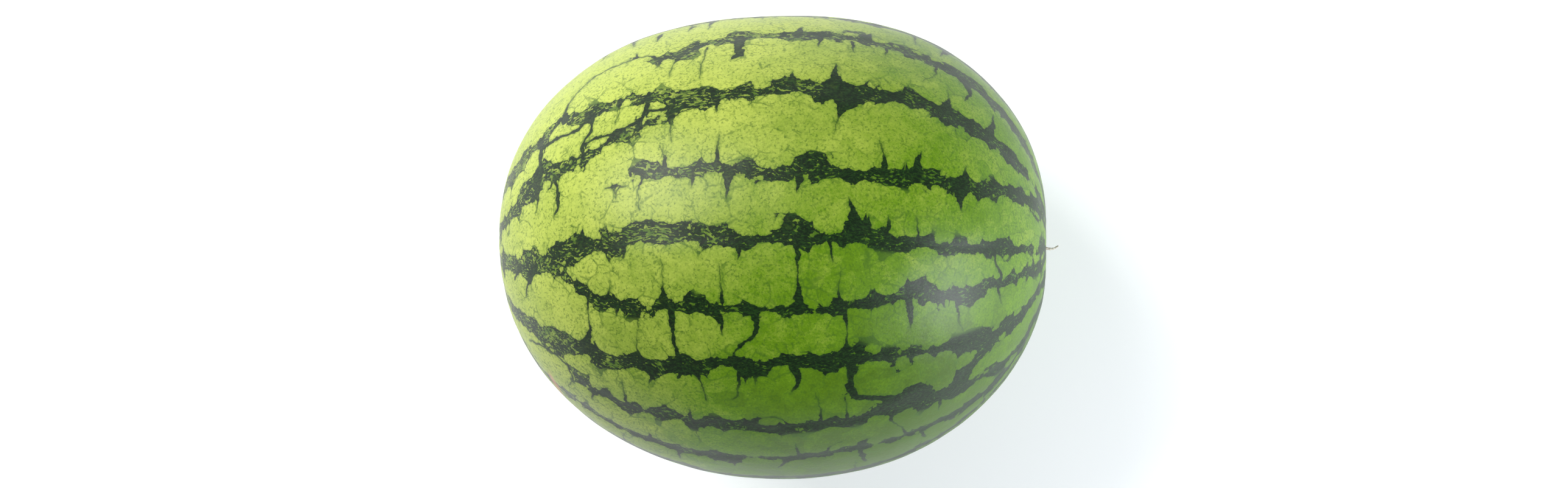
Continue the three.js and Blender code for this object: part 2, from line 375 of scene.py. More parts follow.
class StageLight(PropertyGroup):
    """Floor, light and camera."""

    floor: FloatVectorProperty(
        name="Floor", description="Colour of the floor", subtype="COLOR", default=(0.84, 0.86, 0.87))
    floor_glow: FloatProperty(
        name="Floor glow", description="How strongly the floor itself glows", default=0.225)
    far_floor_glow: FloatProperty(
        name="Far floor glow", description="The same, well away from the fruit", default=0.9)
    near_walls: FloatProperty(
        name="Near walls", description="Strength of the pale walls beside the key light", default=0.7)
    far_walls: FloatProperty(
        name="Far walls", description="Strength of the walls across from the key light", default=0.05)
    overhead: FloatProperty(
        name="Overhead", description="Strength of the dim ceiling", default=0.1)
    key: FloatProperty(
        name="Key light", description="Power of the large soft light", default=25.5, unit="POWER")
    side: FloatProperty(
        name="Side light", description="Power of the cool light from the stalk end", default=31, unit="POWER")
    camera_distance: FloatProperty(
        name="Camera distance", description="From the middle of the fruit", default=1.14, unit="LENGTH")
    lens: FloatProperty(
        name="Lens", description="Focal length in mm", default=52.8)
    tilt: FloatProperty(
        name="Tilt", description="How far the camera leans towards the stalk end", subtype="ANGLE",
        default=math.radians(5))


# ------------------------------------------------------------------ shape of the fruit


def rind_points(shape, across, around):
    """Points of the rind about the fruit's middle. across runs from the stalk end to the blossom
    end, around from +Y over the top."""
    power = 2 / (shape.roundness + shape.lopsided * np.cos(around))
    along = np.sign(np.cos(across)) * np.abs(np.cos(across)) ** power
    width = np.abs(np.sin(across)) ** power * (1 + shape.stalk_end_fullness * along)
    radius = shape.diameter / 2 * width
    stalk_hollow = shape.stalk_dimple_depth * np.exp(-((radius / shape.stalk_dimple_radius) ** 2))
    blossom_hollow = shape.blossom_dimple_depth * np.exp(-((radius / shape.blossom_dimple_radius) ** 2))
    hollow = np.where(along > 0, stalk_hollow, -blossom_hollow)
    return np.stack(
        [shape.length / 2 * along - hollow, radius * np.cos(around), radius * np.sin(around)], axis=-1)


def on_rind(shape, along, bearing):
    """Points of the rind at a share along the fruit and a bearing in degrees from the top."""
    around = np.radians(90 - np.asarray(bearing, dtype=float))
    power = 2 / (shape.roundness + shape.lopsided * np.cos(around))
    along = np.asarray(along, dtype=float)
    across = np.arccos(np.sign(along) * np.abs(along) ** (1 / power))
    return rind_points(shape, across, around)


def fruit_middle(shape):
    """Where the middle of the fruit is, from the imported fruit's box."""
    low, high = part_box("fruit")
    across, around = np.meshgrid(
        np.linspace(0, math.pi, shape.along), np.linspace(0, 2 * math.pi, shape.around), indexing="ij")
    points = rind_points(shape, across, around)
    x = (low.x + high.x) / 2 - (points[..., 0].min() + points[..., 0].max()) / 2
    return np.array([x, (low.y + high.y) / 2, high.z - shape.diameter / 2])


# ------------------------------------------------------------------ marks on the rind


def smooth_course(stations, step=0.01):
    """Stations filled in with a soft curve, as along, bearing and width."""
    stations = np.array(stations, dtype=float)
    gaps = np.hypot(np.diff(stations[:, 0]), np.diff(stations[:, 1]) / 60)
    run = np.concatenate([[0], np.cumsum(gaps)])
    count = max(3, int(run[-1] / step))
    fine = np.linspace(0, run[-1], count)
    tangents = np.gradient(stations, run, axis=0)
    where = np.clip(np.searchsorted(run, fine, side="right") - 1, 0, len(run) - 2)
    span = run[where + 1] - run[where]
    t = ((fine - run[where]) / span)[:, None]
    span = span[:, None]
    course = (
        (2 * t**3 - 3 * t**2 + 1) * stations[where]
        + (t**3 - 2 * t**2 + t) * span * tangents[where] * 0.7
        + (3 * t**2 - 2 * t**3) * stations[where + 1]
        + (t**3 - t**2) * span * tangents[where + 1] * 0.7
    )
    course[:, 2] = np.maximum(course[:, 2], 0.3)
    return course


def run_to_ends(stations):
    """A stripe that comes close to an end of the fruit, carried on until it meets the hollow there."""
    stations = list(stations)
    for place, spot in ((0, stations[0]), (len(stations), stations[-1])):
        if abs(spot[0]) > 0.9:
            stations.insert(place, (math.copysign(0.994, spot[0]), spot[1], 0.4 * spot[2]))
    return stations


def lower_marks():
    """Stripes and cracks of the side that lies underneath: wandering, barbed, never twice alike."""
    chance = np.random.default_rng(LOWER_SEED)
    stripes = []
    cracks = []
    for bearing, width in LOWER_STRIPES:
        along = np.linspace(-0.96, 0.96, 18)
        wander = np.convolve(chance.normal(0, 2.0, 22), [0.25, 0.5, 0.25], "same")[2:20]
        widths = width * chance.uniform(0.6, 1.35, 18) * np.sqrt(1 - 0.8 * along**2)
        stripes.append(tuple(zip(along, bearing + wander, widths)))
        for side in (-1, 1):
            place = -0.85 + chance.uniform(0, 0.1)
            while place < 0.88:
                start = bearing + np.interp(place, along, wander)
                reach = chance.uniform(3, 12)
                root = chance.uniform(2.5, 9)
                lean = chance.normal(0, 0.022)
                cracks.append((
                    (place, start, root),
                    (place + lean * 0.4, start + side * reach * 0.45, root * 0.35),
                    (place + lean, start + side * reach, 0.6),
                ))
                place += chance.uniform(0.07, 0.27)
    return stripes, cracks


def distance_to_course(points, normals, line, half_widths):
    """Gap from every point to the edge of one mark, and the distance, side and half width there."""
    best_gap = np.full(len(points), 1e3, dtype=np.float32)
    near = best_gap.copy()
    side = best_gap.copy()
    half = np.zeros(len(points), dtype=np.float32)
    for start, end, w0, w1 in zip(line[:-1], line[1:], half_widths[:-1], half_widths[1:]):
        run = end - start
        length = np.linalg.norm(run)
        if length < 1e-6:
            continue
        offset = points - start
        share = np.clip(offset @ run / length**2, 0, 1)
        away = np.linalg.norm(offset - share[:, None] * run, axis=1)
        width = w0 + share * (w1 - w0)
        best_gap = np.minimum(best_gap, away - width)
        closer = away < near
        near = np.where(closer, away, near)
        half = np.where(closer, width, half)
        lateral = np.einsum("ij,ij->i", np.cross(run / length, offset), normals)
        side = np.where(closer, lateral, side)
    half -= 0.6 * np.sqrt(np.maximum(near**2 - side**2, 0))
    return best_gap, near, side, half


def mark_fields(shape, points, normals):
    """What the rind material needs to know of the marks, for every point, in mm.

    edge is the gap to the nearest stripe, negative inside it. crack_side, crack_near and
    crack_half place the nearest crack's middle line exactly, so that it can be a hair thin.
    """
    lower_stripes, lower_cracks = lower_marks()
    blend = 1.1
    pile = np.zeros(len(points), dtype=np.float32)
    crack_near = np.full(len(points), 1e3, dtype=np.float32)
    crack_side = crack_near.copy()
    crack_half = np.zeros(len(points), dtype=np.float32)
    marks = [(run_to_ends(m), False) for m in (*TOP_STRIPES, *lower_stripes)]
    marks += [(m, True) for m in (*TOP_CRACKS, *lower_cracks)]
    for stations, is_crack in marks:
        course = smooth_course(stations)
        line = (on_rind(shape, course[:, 0], course[:, 1]) / MM).astype(np.float32)
        low = line.min(0) - 30
        high = line.max(0) + 30
        close = np.nonzero(np.all((points > low) & (points < high), axis=1))[0]
        gap, near, side, half = distance_to_course(
            points[close], normals[close], line, course[:, 2].astype(np.float32) / 2)
        if not is_crack:
            pile[close] += np.exp(-np.clip(gap, -30, 60) / blend)
            continue
        gap_so_far = crack_near[close] - crack_half[close]
        nearer = near - half < gap_so_far
        chosen = close[nearer]
        crack_near[chosen] = near[nearer]
        crack_side[chosen] = side[nearer]
        crack_half[chosen] = half[nearer]
    edge = -blend * np.log(np.maximum(pile, 1e-20))
    return {
        "edge": np.clip(edge, -20, 30),
        "crack_side": np.clip(crack_side, -30, 30),
        "crack_near": np.clip(crack_near, 0, 30),
        "crack_half": crack_half,
    }


# ------------------------------------------------------------------ shader nodes


class NodeBench:
    """Adds shader nodes to a material or a world and joins them."""

    def __init__(self, holder):
        holder.use_nodes = True
        self.holder = holder
        self.tree = holder.node_tree
        self.tree.nodes.clear()
        self.count = 0

    def add(self, kind, **settings):
        node = self.tree.nodes.new(kind)
        node.location = (220 * (self.count % 8), -260 * (self.count // 8))
        self.count += 1
        for key, value in settings.items():
            setattr(node, key, value)
        return node

    def put(self, socket, value):
        if isinstance(value, bpy.types.NodeSocket):
            self.tree.links.new(value, socket)
        elif isinstance(value, (tuple, list)) and len(value) == 3 and len(socket.default_value) == 4:
            socket.default_value = (*value, 1)
        else:
            socket.default_value = value

    def math(self, operation, a, b=0.0, c=0.0):
        node = self.add("ShaderNodeMath", operation=operation)
        for socket, value in zip(node.inputs, (a, b, c)):
            self.put(socket, value)
        return node.outputs[0]

    def vector(self, operation, a, b=None, scale=None):
        node = self.add("ShaderNodeVectorMath", operation=operation)
        self.put(node.inputs[0], a)
        if b is not None:
            self.put(node.inputs[1], b)
        if scale is not None:
            self.put(node.inputs["Scale"], scale)
        return node.outputs["Vector"]

    def attribute(self, name, vector=False):
        node = self.add("ShaderNodeAttribute", attribute_name=name)
        return node.outputs["Vector" if vector else "Fac"]

    def between(self, value, low, high, start=0.0, end=1.0):
        """value's soft passage from low to high, as start to end."""
        node = self.add("ShaderNodeMapRange", interpolation_type="SMOOTHSTEP")
        for socket, number in zip(node.inputs, (value, low, high, start, end)):
            self.put(socket, number)
        return node.outputs[0]

    def noise(self, vector, size, detail=2.0, roughness=0.5):
        """Cloudy noise whose blotches are about size mm."""
        node = self.add("ShaderNodeTexNoise")
        self.put(node.inputs["Vector"], vector)
        self.put(node.inputs["Scale"], 1 / size)
        self.put(node.inputs["Detail"], detail)
        self.put(node.inputs["Roughness"], roughness)
        return node

    def cells(self, vector, size, feature="F1"):
        node = self.add("ShaderNodeTexVoronoi", feature=feature)
        self.put(node.inputs["Vector"], vector)
        self.put(node.inputs["Scale"], 1 / size)
        return node

    def mix(self, share, a, b):
        node = self.add("ShaderNodeMix", data_type="RGBA")
        self.put(node.inputs["Factor"], share)
        self.put(node.inputs[6], a)
        self.put(node.inputs[7], b)
        return node.outputs[2]

    def split(self, colour):
        node = self.add("ShaderNodeSeparateColor")
        self.put(node.inputs[0], colour)
        return node.outputs

    def part(self, vector):
        node = self.add("ShaderNodeSeparateXYZ")
        self.put(node.inputs[0], vector)
        return node.outputs

    def shade(self, colour, roughness, normal=None, glow=None, **settings):
        """Ends the material in one surface shader."""
        shader = self.add("ShaderNodeBsdfPrincipled")
        self.put(shader.inputs["Base Color"], colour)
        self.put(shader.inputs["Roughness"], roughness)
        if normal is not None:
            self.put(shader.inputs["Normal"], normal)
        if glow is not None:
            self.put(shader.inputs["Emission Strength"], glow)
        for key, value in settings.items():
            shader.inputs[key.replace("_", " ")].default_value = value
        output = self.add("ShaderNodeOutputMaterial")
        self.tree.links.new(shader.outputs[0], output.inputs["Surface"])
        return self.holder

    def surround(self, colour, strength):
        """Ends the world in one even colour of the given strength."""
        backdrop = self.add("ShaderNodeBackground")
        self.put(backdrop.inputs["Color"], colour)
        self.put(backdrop.inputs["Strength"], strength)
        output = self.add("ShaderNodeOutputWorld")
        self.tree.links.new(backdrop.outputs[0], output.inputs["Surface"])
        return self.holder

    def bump(self, height, strength, distance):
        node = self.add("ShaderNodeBump")
        self.put(node.inputs["Strength"], strength)
        self.put(node.inputs["Distance"], distance)
        self.put(node.inputs["Height"], height)
        return node.outputs[0]


def crooked_place(bench, skin):
    """The laid-out rind, swaying and shivering so that all on it grows a little crooked, and the shiver."""
    laid_out = bench.attribute("laid_out", vector=True)
    sway = bench.vector("SUBTRACT", bench.noise(skin, 16, 1).outputs["Color"], (0.5, 0.5, 0.5))
    shiver = bench.vector("SUBTRACT", bench.noise(skin, 2.6, 2).outputs["Color"], (0.5, 0.5, 0.5))
    crooked = bench.vector("ADD", laid_out, bench.vector("SCALE", sway, scale=9.0))
    crooked = bench.vector("ADD", crooked, bench.vector("SCALE", shiver, scale=1.6))
    return crooked, shiver


def stripe_margin(bench, skin, crooked, lobe):
    """Gap in mm to the dark of a stripe or crack, negative inside it, and the gap to a crack alone."""
    # the light rind bulges into the stripes cell by cell, with sharp cusps between the cells
    lobelet = bench.cells(crooked, LOBELET_SIZE)
    bulge = bench.math("MULTIPLY", bench.math("POWER", lobe.outputs["Distance"], 2.6), 10.0)
    bulgelet = bench.math("MULTIPLY", bench.math("POWER", lobelet.outputs["Distance"], 2.6), 3.0)
    ragged = bench.math("MULTIPLY_ADD", bench.noise(skin, 1.6, 4, 0.7).outputs["Fac"], 3.2, -1.6)
    margin = bench.math("SUBTRACT", bench.attribute("edge"), bulge)
    margin = bench.math("SUBTRACT", margin, bulgelet)
    margin = bench.math("ADD", margin, ragged)
    margin = bench.math("ADD", margin, 2.0)

    # barbs start wide at a stripe and run out as thin tails into the light bands
    crack_half = bench.attribute("crack_half")
    waver = bench.math("MULTIPLY_ADD", bench.noise(skin, 4.2, 2).outputs["Fac"], 3.0, -1.5)
    lateral = bench.math("ABSOLUTE", bench.math("ADD", bench.attribute("crack_side"), waver))
    thickness = bench.math("MULTIPLY_ADD", bench.noise(skin, 5, 2).outputs["Fac"], 1.7, 0.05)
    crack_gap = bench.math("SUBTRACT", lateral, bench.math("MULTIPLY", crack_half, thickness))
    crack_gap = bench.math("ADD", crack_gap, bench.math("MULTIPLY", ragged, 0.45))
    beyond = bench.math("SUBTRACT", bench.attribute("crack_near"), crack_half)
    crack_gap = bench.math("ADD", crack_gap, bench.between(beyond, 2.0, 3.0, 0, 20))
    return bench.math("SMOOTH_MIN", margin, crack_gap, 1.6), crack_gap


def vein_pattern(bench, skin, crooked, margin):
    """Veins between the lobes and hairs between the lobelets, clearest beside the stripes."""
    seam = bench.cells(crooked, LOBE_SIZE, "DISTANCE_TO_EDGE").outputs["Distance"]
    beside = bench.between(margin, 9.0, 1.0, 0, 0.10)
    vein = bench.between(seam, 0.06, 0.01)
    vein_drift = bench.math("ADD", bench.noise(skin, 9, 2).outputs["Fac"], beside)
    vein = bench.math("MULTIPLY", vein, bench.between(vein_drift, 0.54, 0.68))
    small_seam = bench.cells(crooked, LOBELET_SIZE, "DISTANCE_TO_EDGE").outputs["Distance"]
    hair = bench.between(small_seam, 0.10, 0.01)
    hair_drift = bench.math("ADD", bench.noise(skin, 3.4, 2).outputs["Fac"], beside)
    hair = bench.math("MULTIPLY", hair, bench.between(hair_drift, 0.58, 0.70))
    return bench.math("MAXIMUM", vein, bench.math("MULTIPLY", hair, 0.8))


def fleck_pattern(bench, skin, shiver):
    """Short dashes and commas scattered over the light bands, in drifts."""
    shaken = bench.vector("ADD", skin, bench.vector("SCALE", shiver, scale=2.4))
    dashes = bench.cells(shaken, 2.4, "DISTANCE_TO_EDGE").outputs["Distance"]
    dash = bench.between(dashes, 0.22, 0.02)
    drift = bench.math("MULTIPLY", bench.noise(skin, 7, 2).outputs["Fac"], 0.35)
    drift = bench.math("ADD", bench.noise(skin, 1.2, 1).outputs["Fac"], drift)
    dash = bench.math("MULTIPLY", dash, bench.between(drift, 0.70, 0.84))
    comma = bench.cells(shaken, 2.9)
    comma_dice = bench.split(comma.outputs["Color"])
    speck = bench.between(comma.outputs["Distance"], 0.30, 0.12)
    speck = bench.math("MULTIPLY", speck, bench.between(comma_dice[0], 0.35, 1.0))
    return bench.math("MAXIMUM", dash, speck)


def band_colour(bench, colours, skin, lobe, clouds, margin, vein, fleck):
    """Colour of the light bands, with painted light and shade: paler towards the key light, darker green away
    from it.
    """
    cloudy, grainy = clouds
    broad = bench.noise(skin, 30, 2).outputs["Fac"]
    own_tone = bench.split(lobe.outputs["Color"])[0]
    # the tone starts from painted light and shade; the noise patches added to it are the rind's own uneven
    # tone
    tone = bench.attribute("painted_light")
    for patches, strength in ((broad, 0.5), (cloudy, 0.5), (grainy, 0.7), (own_tone, 0.16)):
        tone = bench.math("ADD", tone, bench.math("MULTIPLY_ADD", patches, strength, -strength / 2))
    # painted light and shade: a high tone gives the pale colour, a low one the deep green, and below zero the
    # painted shade green
    band = bench.mix(tone, colours.deep[:], colours.pale[:])
    band = bench.mix(bench.math("MULTIPLY", tone, -2.0), band, colours.painted_shade[:])
    mottled = bench.between(bench.noise(skin, 1.5, 3, 0.6).outputs["Fac"], 0.48, 0.68, 0, 0.32)
    band = bench.mix(mottled, band, colours.vein[:])
    band = bench.mix(bench.math("MULTIPLY", fleck, 0.62), band, colours.vein[:])
    band = bench.mix(bench.math("MULTIPLY", vein, 0.6), band, colours.vein[:])
    rim_shade = bench.between(margin, 1.5, 0.1)
    return bench.mix(bench.math("MULTIPLY", rim_shade, 0.3), band, colours.vein[:])


def stripe_colour(bench, colours, skin, crooked, margin, crack_gap, band):
    """Colour of the stripes: black-green threads round a lace of light slivers. Thin tails are mid green."""
    # painted light and shade: the lace opens wider and its slivers are brighter where the rind is painted as
    # lit, and they are dimmer in the painted shade
    painted_light = bench.attribute("painted_light")
    drawn_out = bench.vector("MULTIPLY", crooked, (0.45, 1.0, 1.0))
    lace = bench.noise(drawn_out, 1.15, 2, 0.5).outputs["Fac"]
    opened = bench.noise(skin, 9, 2).outputs["Fac"]
    opened = bench.math("ADD", bench.math("MULTIPLY_ADD", opened, 0.5, -0.25),
                        bench.math("MULTIPLY_ADD", painted_light, 0.12, -0.06))
    lace = bench.math("ADD", lace, opened)
    sliver = bench.between(lace, 0.55, 0.62)
    sliver = bench.math("MULTIPLY", sliver, bench.between(margin, -0.5, -1.1))
    sliver = bench.math("MULTIPLY", sliver, bench.between(crack_gap, -0.2, 1.6, 0.1, 1.0))
    threads = bench.noise(drawn_out, 0.8, 3, 0.7).outputs["Fac"]
    dark = bench.mix(bench.between(threads, 0.42, 0.68), colours.stripe[:], colours.stripe_green[:])
    bright = bench.between(bench.noise(drawn_out, 2.6, 2).outputs["Fac"], 0.36, 0.62, 0.2, 0.9)
    bright = bench.math("MULTIPLY", bright, bench.between(painted_light, 0.0, 0.5, 0.25, 1.0))
    dark = bench.mix(sliver, dark, bench.mix(bright, colours.vein[:], band))
    thin = bench.between(bench.attribute("crack_half"), 0.9, 0.1, 0, 0.85)
    thin = bench.math("MULTIPLY", thin, bench.between(bench.attribute("edge"), 2.0, 4.5))
    return bench.mix(thin, dark, bench.mix(0.35, colours.vein[:], band))


def with_ground_spot(bench, colours, colour, light, cloudy, fleck):
    """The cream spot that lay on the soil, where the stripes are only a breath."""
    patchy = bench.math("ADD", bench.attribute("ground"), bench.math("MULTIPLY_ADD", cloudy, 0.5, -0.25))
    share = bench.between(patchy, 0.35, 0.75)
    faint = bench.math("MULTIPLY_ADD", light, -0.22, 0.22)
    cream = bench.mix(faint, colours.ground[:], colours.deep[:])
    cream = bench.mix(bench.math("MULTIPLY", fleck, 0.25), cream, colours.scar[:])
    return bench.mix(share, colour, cream)


def with_scratch(bench, colours, colour, skin, cloudy, at, along):
    """An old tan scratch, whose middle and direction are given."""
    from_scratch = bench.vector("SUBTRACT", skin, at)
    lengthwise = bench.add("ShaderNodeVectorMath", operation="DOT_PRODUCT")
    bench.put(lengthwise.inputs[0], from_scratch)
    bench.put(lengthwise.inputs[1], along)
    run = bench.math("MULTIPLY", lengthwise.outputs["Value"], 0.78)
    shortened = bench.vector("SUBTRACT", from_scratch, bench.vector("SCALE", along, scale=run))
    reach = bench.add("ShaderNodeVectorMath", operation="LENGTH")
    bench.put(reach.inputs[0], shortened)
    scratch = bench.between(bench.math("MULTIPLY_ADD", cloudy, 5.0, reach.outputs["Value"]), 6.2, 3.6)
    return bench.mix(bench.math("MULTIPLY", scratch, 0.75), colour, colours.scar[:])


def rind_material(colours, scratch_at, scratch_along):
    """The waxy rind: light lobed bands, netted dark stripes, veins, flecks and a cream ground spot."""
    bench = NodeBench(bpy.data.materials.new("rind"))
    place = bench.add("ShaderNodeTexCoord").outputs["Object"]
    skin = bench.vector("SCALE", place, scale=1 / MM)
    cloudy = bench.noise(skin, 5.5, 3, 0.6).outputs["Fac"]
    grainy = bench.noise(skin, 1.0, 3, 0.7).outputs["Fac"]

    crooked, shiver = crooked_place(bench, skin)
    lobe = bench.cells(crooked, LOBE_SIZE)
    margin, crack_gap = stripe_margin(bench, skin, crooked, lobe)
    light = bench.between(margin, -0.22, 0.22)
    vein = vein_pattern(bench, skin, crooked, margin)
    fleck = fleck_pattern(bench, skin, shiver)

    band = band_colour(bench, colours, skin, lobe, (cloudy, grainy), margin, vein, fleck)
    dark = stripe_colour(bench, colours, skin, crooked, margin, crack_gap, band)
    colour = bench.mix(light, dark, band)
    colour = with_ground_spot(bench, colours, colour, light, cloudy, fleck)
    colour = with_scratch(bench, colours, colour, skin, cloudy, scratch_at, scratch_along)
    colour = bench.mix(bench.attribute("dry"), colour, colours.dry[:])

    gloss = bench.math("MULTIPLY_ADD", cloudy, 0.12, colours.roughness - 0.06)
    pores = bench.math("ADD", bench.math("MULTIPLY", grainy, 0.6), bench.math("MULTIPLY", cloudy, 1.2))
    normal = bench.bump(pores, 0.35, 0.00022)
    return bench.shade(colour, gloss, normal, IOR=1.33)


def stalk_material(shape):
    """Dried fibre: grey-beige, streaked lengthwise, darker at the foot."""
    bench = NodeBench(bpy.data.materials.new("dried_stalk"))
    place = bench.add("ShaderNodeTexCoord").outputs["Object"]
    skin = bench.vector("SCALE", place, scale=1 / MM)
    drawn_out = bench.vector("MULTIPLY", skin, (0.25, 1.0, 1.0))
    streaks = bench.noise(drawn_out, 0.35, 3, 0.6).outputs["Fac"]
    blotches = bench.noise(skin, 1.6, 2).outputs["Fac"]
    darker = tuple(channel * 0.6 for channel in shape.colour)
    colour = bench.mix(bench.between(streaks, 0.35, 0.65), darker, shape.colour[:])
    colour = bench.mix(bench.between(blotches, 0.5, 0.7, 0, 0.4), colour, (0.30, 0.25, 0.18))
    foot = bench.between(bench.attribute("from_foot"), 0.25, 0.0, 0, 0.8)
    colour = bench.mix(foot, colour, (0.14, 0.15, 0.05))
    normal = bench.bump(streaks, 0.6, 0.00012)
    return bench.shade(colour, bench.math("MULTIPLY_ADD", streaks, 0.2, 0.7), normal)


def floor_material(stage, middle):
    """Pale floor with a soft glow of its own, stronger away from the fruit, where the lamps fade."""
    bench = NodeBench(bpy.data.materials.new("pale_floor"))
    place = bench.add("ShaderNodeTexCoord").outputs["Object"]
    away = bench.add("ShaderNodeVectorMath", operation="DISTANCE")
    bench.put(away.inputs[0], place)
    bench.put(away.inputs[1], middle[:])
    glow = bench.between(away.outputs["Value"], 0.2, 0.8, stage.floor_glow, stage.far_floor_glow)
    return bench.shade(stage.floor[:], 0.7, None, glow, Emission_Color=(*stage.floor, 1))


# ------------------------------------------------------------------ mesh helpers


def add_piece(name, points, faces):
    """A smooth mesh object in the scene."""
    mesh = bpy.data.meshes.new(name)
    mesh.from_pydata(points.tolist(), [], faces)
    mesh.polygons.foreach_set("use_smooth", [True] * len(mesh.polygons))
    mesh.update()
    piece = bpy.data.objects.new(name, mesh)
    bpy.context.scene.collection.objects.link(piece)
    return piece


def set_field(mesh, name, values):
    """Stores one number, or one vector, for every point of a mesh."""
    kind = "FLOAT_VECTOR" if values.ndim == 2 else "FLOAT"
    field = mesh.attributes.new(name, kind, "POINT")
    field.data.foreach_set("vector" if values.ndim == 2 else "value", values.astype(np.float32).ravel())


def ring_faces(rings, around):
    """Faces of a closed skin: rings of points between one point at each end."""
    last = 1 + rings * around
    faces = [(0, 1 + (j + 1) % around, 1 + j) for j in range(around)]
    for i in range(rings - 1):
        low = 1 + i * around
        high = low + around
        faces += [(low + j, low + (j + 1) % around, high + (j + 1) % around, high + j) for j in range(around)]
    low = 1 + (rings - 1) * around
    faces += [(last, low + j, low + (j + 1) % around) for j in range(around)]
    return faces


# ------------------------------------------------------------------ skin of the fruit


def skin_lift(shape, bare, edge):
    """How far the skin stands out from the plain formula: swells, sunken stripes, a ring at each end."""
    swell = np.array([
        noise.noise(Vector(p) / BROAD_SWELL) + 0.35 * noise.noise(Vector(p) / FINE_SWELL)
        for p in bare.tolist()
    ])
    lift = shape.swell * swell + STRIPE_DEPTH * np.tanh(edge / 3)
    radius = np.hypot(bare[:, 1], bare[:, 2])
    at_blossom = (bare[:, 0] < 0) & (radius < 3 * shape.scar_radius)
    ring = np.exp(-(((radius - shape.scar_radius) / (0.35 * shape.scar_radius)) ** 2))
    lift += np.where(at_blossom, RING_HEIGHT * ring, 0)
    at_stalk = (bare[:, 0] > 0) & (radius < COLLAR_REACH)
    collar = np.exp(-(((radius - COLLAR_RADIUS) / COLLAR_WIDTH) ** 2))
    lift += np.where(at_stalk, RING_HEIGHT * collar, 0)
    return lift


def painted_light_and_shade(normals):
    """Painted light and shade for every point: most at the blossom end and the far side, where the key light
    falls, and least, down to below zero, low on the near side, away from it.
    """
    painted_light = 1 / (1 + np.exp(
        0.95 + 3.6 * normals[:, 0] - 3.2 * np.maximum(normals[:, 1], 0) * (1 - normals[:, 0])))
    painted_shade = np.maximum(-normals[:, 1] - 0.05, 0)
    return painted_light - 0.95 * painted_shade * (1 - painted_light)


# ------------------------------------------------------------------ operators


class MELON_OT_grow_fruit(Operator):
    """Grow the whole fruit, with its stripes, cracks, ground spot and blossom scar"""

    bl_idname = "melon.grow_fruit"
    bl_label = "Grow fruit"

    def execute(self, context):
        shape = context.scene.melon_fruit
        middle = fruit_middle(shape)
        low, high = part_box("fruit")

        across = np.linspace(0, math.pi, shape.along + 1)[1:-1]
        around = np.linspace(0, 2 * math.pi, shape.around, endpoint=False)
        across, around = (g.ravel() for g in np.meshgrid(across, around, indexing="ij"))
        ends = np.array([0.0, math.pi])
        across = np.concatenate([ends[:1], across, ends[1:]])
        around = np.concatenate([[0.0], around, [0.0]])
        bare = rind_points(shape, across, around)
        faces = ring_faces(shape.along - 1, shape.around)

        normals = np.stack(
            [bare[:, 0] / (shape.length / 2) ** 2, bare[:, 1] / (shape.diameter / 2) ** 2,
             bare[:, 2] / (shape.diameter / 2) ** 2], axis=1)
        normals /= np.linalg.norm(normals, axis=1)[:, None]
        fields = mark_fields(shape, (bare / MM).astype(np.float32), normals.astype(np.float32))

        lift = skin_lift(shape, bare, fields["edge"])
        points = bare + normals * lift[:, None] + middle

        # the underside rests flat, with a soft turn at the edge of the flat
        above = (points[:, 2] - low.z) / FLAT_SOFTNESS
        points[:, 2] = low.z + FLAT_SOFTNESS * np.logaddexp(0, above)
        points[:, 2] = np.minimum(points[:, 2], high.z + shape.swell)

        piece = add_piece("watermelon_fruit", points, faces)
        for name, values in fields.items():
            set_field(piece.data, name, values)

        # the rind laid out: length along it from the middle, and a girth that narrows less than the fruit
        radius = np.hypot(bare[:, 1], bare[:, 2])
        girth = np.sqrt(np.maximum(radius, 1e-6) * shape.diameter / 2) / np.maximum(radius, 1e-6)
        run = np.arcsin(np.clip(bare[:, 0] / (shape.length / 2), -1, 1)) * 0.48 * shape.length
        laid_out = np.stack([run, bare[:, 1] * girth, bare[:, 2] * girth], axis=1) / MM
        set_field(piece.data, "laid_out", laid_out)

        # painted light and shade, kept for the rind material
        set_field(piece.data, "painted_light", painted_light_and_shade(normals))

        # the ground spot, widest underneath, and the dry blossom scar
        off_spot = np.hypot(bare[:, 0] * 0.8 + GROUND_SHIFT, bare[:, 1] + GROUND_SHIFT)
        down = np.degrees(np.arctan2(off_spot, -bare[:, 2]))
        ground = np.clip((GROUND_OUTER - down) / (GROUND_OUTER - GROUND_INNER), 0, 1)
        set_field(piece.data, "ground", ground)
        set_field(piece.data, "dry", np.where(
            bare[:, 0] < 0, np.clip(1.5 - radius / shape.scar_radius, 0, 0.9),
            np.clip(1.6 - radius / DRY_FOOT, 0, 0.8)))

        scratch = on_rind(shape, SCRATCH_PLACES, SCRATCH_BEARINGS) + middle
        scratch_run = scratch[1] - scratch[0]
        scratch_at = tuple(scratch.mean(0) / MM)
        scratch_along = tuple(scratch_run / np.linalg.norm(scratch_run))
        material = rind_material(context.scene.melon_rind, scratch_at, scratch_along)
        piece.data.materials.append(material)
        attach(piece, "root")
        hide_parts("fruit")
        return {"FINISHED"}


